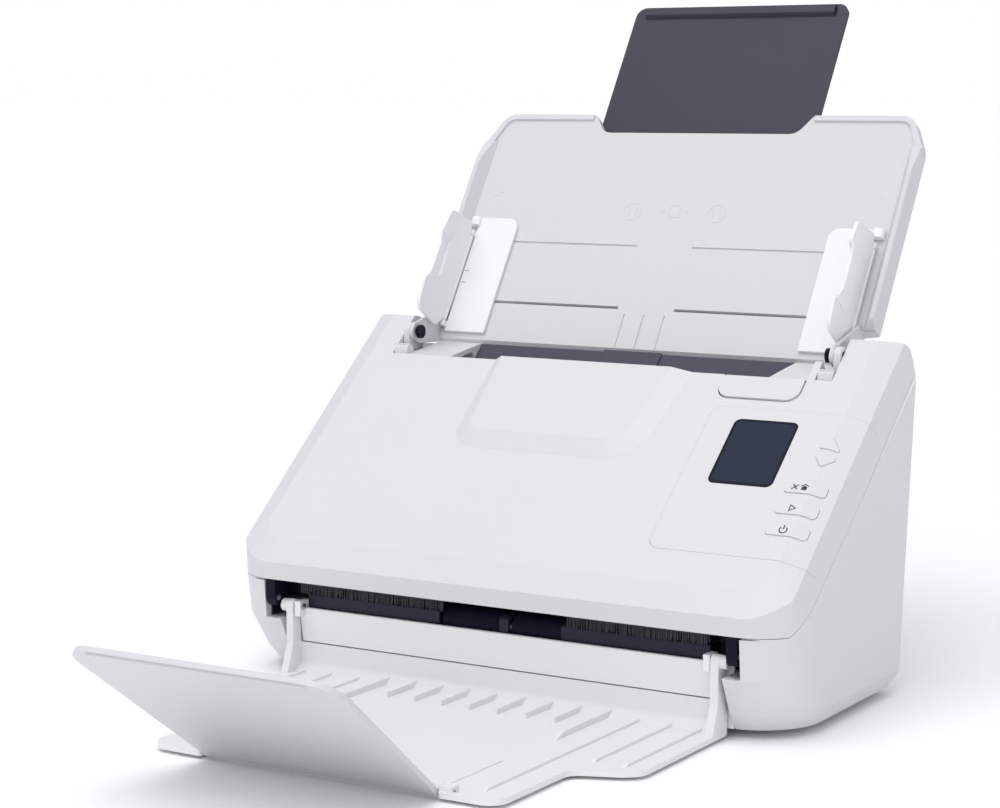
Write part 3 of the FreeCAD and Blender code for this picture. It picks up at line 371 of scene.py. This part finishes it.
# A band between two outlines with the same number of corners.
def raisedBand(place, outer, inner, low, high):
    vertices, faces, count = [], [], len(outer)
    for loop in (outer, inner):
        for lift in (low, high):
            vertices += [place(x, run, lift) for x, run in loop]
    for i in range(count):
        j = (i + 1) % count
        faces += [(i, j, count + j, count + i), (2 * count + i, 3 * count + i, 3 * count + j, 2 * count + j),
                  (count + i, count + j, 3 * count + j, 3 * count + i), (i, 2 * count + i, 2 * count + j, j)]
    return vertices, faces


def joined(*parts):
    vertices, faces = [], []
    for moreVertices, moreFaces in parts:
        start = len(vertices)
        vertices += moreVertices
        faces += [tuple(index + start for index in face) for face in moreFaces]
    return vertices, faces


def stroke(start, end, width):
    run = Vector((end[0] - start[0], end[1] - start[1]))
    side = Vector((-run.y, run.x)).normalized() * (width / 2)
    return [(start[0] - side.x, start[1] - side.y), (end[0] - side.x, end[1] - side.y),
            (end[0] + side.x, end[1] + side.y), (start[0] + side.x, start[1] + side.y)]


def roundedLoop(left, low, right, high, radius, steps=6):
    loop = []
    for cx, cy, turn in ((right - radius, high - radius, 0), (left + radius, high - radius, 90),
                         (left + radius, low + radius, 180), (right - radius, low + radius, 270)):
        for step in range(steps + 1):
            angle = math.radians(turn + 90 * step / steps)
            loop.append((cx + radius * math.cos(angle), cy + radius * math.sin(angle)))
    return loop


def arcBand(place, cx, cy, radius, width, first, last, low, high, steps=20):
    outer, inner = [], []
    for step in range(steps + 1):
        angle = math.radians(first + (last - first) * step / steps)
        outer.append((cx + (radius + width / 2) * math.cos(angle), cy + (radius + width / 2) * math.sin(angle)))
        inner.append((cx + (radius - width / 2) * math.cos(angle), cy + (radius - width / 2) * math.sin(angle)))
    return raisedOutlines(place, [outer + inner[::-1]], low, high)


# Symbols printed on the keys: points (x from the key's left end, run from its middle), in millimetres
keyPrint = {
    "thick": 0.05, "line": 0.62, "overlap": 0.002,
    "cross": (((3.4, -1.5), (6.4, 1.3)), ((3.5, 1.5), (6.2, -1.5))), "houseLeft": 9.6,
    "house": ((-1.35, -1.7), (1.35, -1.7), (1.35, 0.1), (0, 1.1), (-1.35, 0.1)),
    "roof": ((-2.1, 0.3), (0, 1.6), (2.1, 0.3), (2.1, 0.8), (0, 2.15), (-2.1, 0.8)),
    "triangle": ((6.6, -2.1), (10.1, 0.1), (6.6, 2.2)),
    "triangleInside": ((7.1, -1.2), (9.2, 0.1), (7.1, 1.35)),
    "power": {"left": 8.3, "run": -0.25, "radius": 1.85, "first": 130, "last": 410, "bar": (0.1, 2.5)},
}


def keyFace(node):
    low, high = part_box(node)
    corners = [Vector(vertex.co) for vertex in nodes[node].data.vertices]
    middle = centreOf(node)
    middle.x = 0
    top = max((corner - middle).dot(outward) for corner in corners) * 1000
    run = [(corner - middle).dot(upslope) * 1000 for corner in corners]
    centre = (min(run) + max(run)) / 2
    return faceFrame(node, upslope, outward), low[0] * 1000, centre, top


def shifted(points, x, run):
    return [(x + point[0], run + point[1]) for point in points]


def keySymbols():
    thick, line, overlap = keyPrint["thick"], keyPrint["line"], keyPrint["overlap"]
    place, left, middle, top = keyFace("cancel_key")
    strokes = [stroke(*shifted(ends, left, middle), line) for ends in keyPrint["cross"]]
    cross = raisedOutlines(place, [strokes[0]], top, top + thick)
    crossTwo = raisedOutlines(place, [strokes[1]], top + overlap, top + thick + overlap)
    houseLeft = left + keyPrint["houseLeft"]
    house, roof = (raisedOutlines(place, [shifted(keyPrint[part], houseLeft, middle)], top, top + thick)
                   for part in ("house", "roof"))
    makePiece("cancelHomePrint", *joined(cross, crossTwo, house, roof), "keyInk", "cancel_button",
              "black_plastic")
    place, left, middle, top = keyFace("start_key")
    outer, inner = (shifted(keyPrint[part], left, middle) for part in ("triangle", "triangleInside"))
    makePiece("startPrint", *raisedBand(place, outer, inner, top, top + thick), "keyInk", "start_button",
              "black_plastic")
    place, left, middle, top = keyFace("power_key")
    power = keyPrint["power"]
    ring = arcBand(place, left + power["left"], middle + power["run"], power["radius"], line,
                   power["first"], power["last"], top, top + thick)
    ends = [(left + power["left"], middle + run) for run in power["bar"]]
    bar = raisedOutlines(place, [stroke(*ends, line)], top, top + thick)
    makePiece("powerPrint", *joined(ring, bar), "keyInk", "power_button", "black_plastic")


keySymbols()

# Display: a rounded black frame and the screen inside it
display = {"frame": 1.3, "lowerFrame": 0.3, "radius": 3.4, "lift": 0.10, "margin": 0.05, "clearance": 0.02,
           "screenLift": 0.4, "bevel": 0.00005}


def displayPieces():
    vertices = [Vector(vertex.co) for vertex in nodes["display_glass"].data.vertices]
    middle = centreOf("display_glass")
    middle.x = 0
    runs = [(corner - middle).dot(upslope) * 1000 for corner in vertices]
    top = max((corner - middle).dot(outward) for corner in vertices) * 1000
    left, right = (value * 1000 for value in (min(c.x for c in vertices), max(c.x for c in vertices)))
    low, high = min(runs), max(runs)
    place, edge, lift = faceFrame("display_glass", upslope, outward), display["frame"], display["lift"]
    margin, lower, inset = display["margin"], display["lowerFrame"], edge + display["clearance"]
    inside = display["radius"] - edge
    outer = roundedLoop(left + margin, low + margin, right - margin, high - margin, display["radius"])
    inner = roundedLoop(left + edge, low + edge + lower, right - edge, high - edge, inside)
    makePiece("displayFrame", *raisedBand(place, outer, inner, top, top + lift), "slotBlack", "cover",
              "black_plastic", display["bevel"])
    screen = roundedLoop(left + inset, low + inset + lower, right - inset, high - inset, inside)
    makePiece("displayScreen", *raisedOutlines(place, [screen], top, top + lift * display["screenLift"]),
              "screenFace", "cover", "display_blue")


displayPieces()

# Embossed on the chute: two circles with guides, a sheet between arrows, and size marks at both sides.
# Runs are measured down from the chute's top edge, and face is where the plate lies from the pivot.
chuteMarks = {
    "lift": 0.12, "line": 0.35, "sunk": 0.02, "face": -19.97,
    "circles": {"places": (-25, 25), "run": -60, "radius": 5.2, "side": 2.2, "ends": (-62.4, -57.4)},
    "sheet": {"half": 3.2, "ends": (-63, -55.6), "radius": 0.8, "insideRadius": 0.5, "steps": 3},
    "arrows": {"run": -59.4, "reach": (5.6, 9)},
    "sizes": {"half": 1.4, "places": ((113.6, -48), (113.6, -52), (109.8, -50))},
}


def chuteFace():
    corners = [Vector(vertex.co) for vertex in nodes["paper_chute"].data.vertices]
    pivot = Vector(joints["chute_hinge"]["pos_m"])
    pivot.x = 0
    top = max((corner - pivot).dot(leafUp) for corner in corners) * 1000

    def place(x, run, lift):
        return pivot + sideways * (x * 0.001) + leafUp * ((top + run) * 0.001) + leafOut * (lift * 0.001)
    return place


def chuteDetails():
    place, line = chuteFace(), chuteMarks["line"]
    low, high = chuteMarks["face"] - chuteMarks["sunk"], chuteMarks["face"] + chuteMarks["lift"]
    circles, sheet, arrows = chuteMarks["circles"], chuteMarks["sheet"], chuteMarks["arrows"]
    icons = []
    for x in circles["places"]:
        icons.append(arcBand(place, x, circles["run"], circles["radius"], line, 0, 359, low, high, 40))
        sides = [[(x + sign * circles["side"], run) for run in circles["ends"]] for sign in (-1, 1)]
        icons.append(raisedOutlines(place, [stroke(*ends, line) for ends in sides], low, high))
    half, (start, end) = sheet["half"], sheet["ends"]
    outer = roundedLoop(-half, start, half, end, sheet["radius"], sheet["steps"])
    inner = roundedLoop(-half + line, start + line, half - line, end - line, sheet["insideRadius"], sheet["steps"])
    icons.append(raisedBand(place, outer, inner, low, high))
    near, far = arrows["reach"]
    arrowEnds = (((-far, arrows["run"]), (-near, arrows["run"])), ((near, arrows["run"]), (far, arrows["run"])))
    icons.append(raisedOutlines(place, [stroke(*ends, line) for ends in arrowEnds], low, high))
    makePiece("chuteIcons", *joined(*icons), "chuteWhite", "chute", "chute_white")
    marks, half = [], chuteMarks["sizes"]["half"]
    for sign in (1, -1):
        for x, run in chuteMarks["sizes"]["places"]:
            ends = ((sign * x - half, run), (sign * x + half, run))
            marks.append(raisedOutlines(place, [stroke(*ends, line)], low, high))
    makePiece("sizeMarks", *joined(*marks), "chuteWhite", "chute", "chute_white")


chuteDetails()

# Slits beside the fences, one pair on each guide. The guide lies on the chute, and pivotRun is
# how far the pivot stands from the chute's lower edge.
slits = {"pivotRun": 30.5, "guideThick": 2.0, "reach": (113.2, 116.0), "runs": (9.9, 17.1), "line": 0.5,
         "sunk": 0.02, "lift": 0.03}


def guideSlits():
    near, far = slits["reach"]
    for side, sign in (("left", -1), ("right", 1)):
        node = f"guide_{side}"
        middle = centreOf(node)
        middle.x = 0
        place = faceFrame(node, leafUp, leafOut)
        pivot = Vector(joints["chute_hinge"]["pos_m"])
        pivot.x = 0
        base = pivot - middle
        start = base.dot(leafUp) * 1000 + slits["pivotRun"]
        face = base.dot(leafOut) * 1000 + chuteMarks["face"] + slits["guideThick"]
        loops = [stroke((sign * near, start + run), (sign * far, start + run), slits["line"])
                 for run in slits["runs"]]
        makePiece(f"guideSlits_{side}", *raisedOutlines(place, loops, face - slits["sunk"], face + slits["lift"]),
                  "markGrey", f"{side}_guide", "dark_grey")


guideSlits()

# Brush bars of the exit slot: a strip with uneven fibres
brush = {"pitch": 0.62, "thick": 0.34, "bar": 1.7, "inBar": 0.2, "end": 1.2, "margin": 2, "uneven": 1.6,
         "front": 0.3, "back": 0.6, "stray": 0.7, "lean": 0.5}
scatters = {"length": (12.9898, 0, 43758.5453), "place": (78.233, 1, 12543.123)}


def scatter(index, kind):
    rate, shift, size = scatters[kind]
    wave = math.sin(index * rate + shift) * size
    return wave - math.floor(wave)


# A block whose foot is moved sideways by lean, in millimetres
def leaningBlock(x0, x1, y0, y1, z0, z1, lean=0.0):
    foot = [(x0 + lean, y0, z0), (x1 + lean, y0, z0), (x1 + lean, y1, z0), (x0 + lean, y1, z0)]
    roof = [(x0, y0, z1), (x1, y0, z1), (x1, y1, z1), (x0, y1, z1)]
    return ([Vector(corner) * 0.001 for corner in foot + roof],
            [(3, 2, 1, 0), (4, 5, 6, 7), (0, 1, 5, 4), (1, 2, 6, 5), (2, 3, 7, 6), (3, 0, 4, 7)])


def brushPieces():
    for side in ("left", "right"):
        node = f"exit_brush_{side}"
        low, high = (Vector(corner) * 1000 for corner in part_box(node))
        barLow = high.z - brush["bar"]
        parts = [leaningBlock(low.x, high.x, low.y, high.y, barLow, high.z)]
        for index in range(int((high.x - low.x - brush["margin"]) / brush["pitch"])):
            length, stray = scatter(index, "length"), scatter(index, "place")
            x = low.x + brush["end"] + index * brush["pitch"]
            front = low.y + brush["front"] + brush["stray"] * stray
            back = low.y + brush["back"] + brush["stray"] * stray
            tip = low.z + brush["uneven"] * length * length
            parts.append(leaningBlock(x, x + brush["thick"], front, back, tip, barLow + brush["inBar"],
                                      brush["lean"] * (stray - 0.5)))
        piece = makePiece(f"brushFibres_{side}", *joined(*parts), "brushFibre", "cover", "brush_fibre")
        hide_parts(node)


brushPieces()
print("details built")
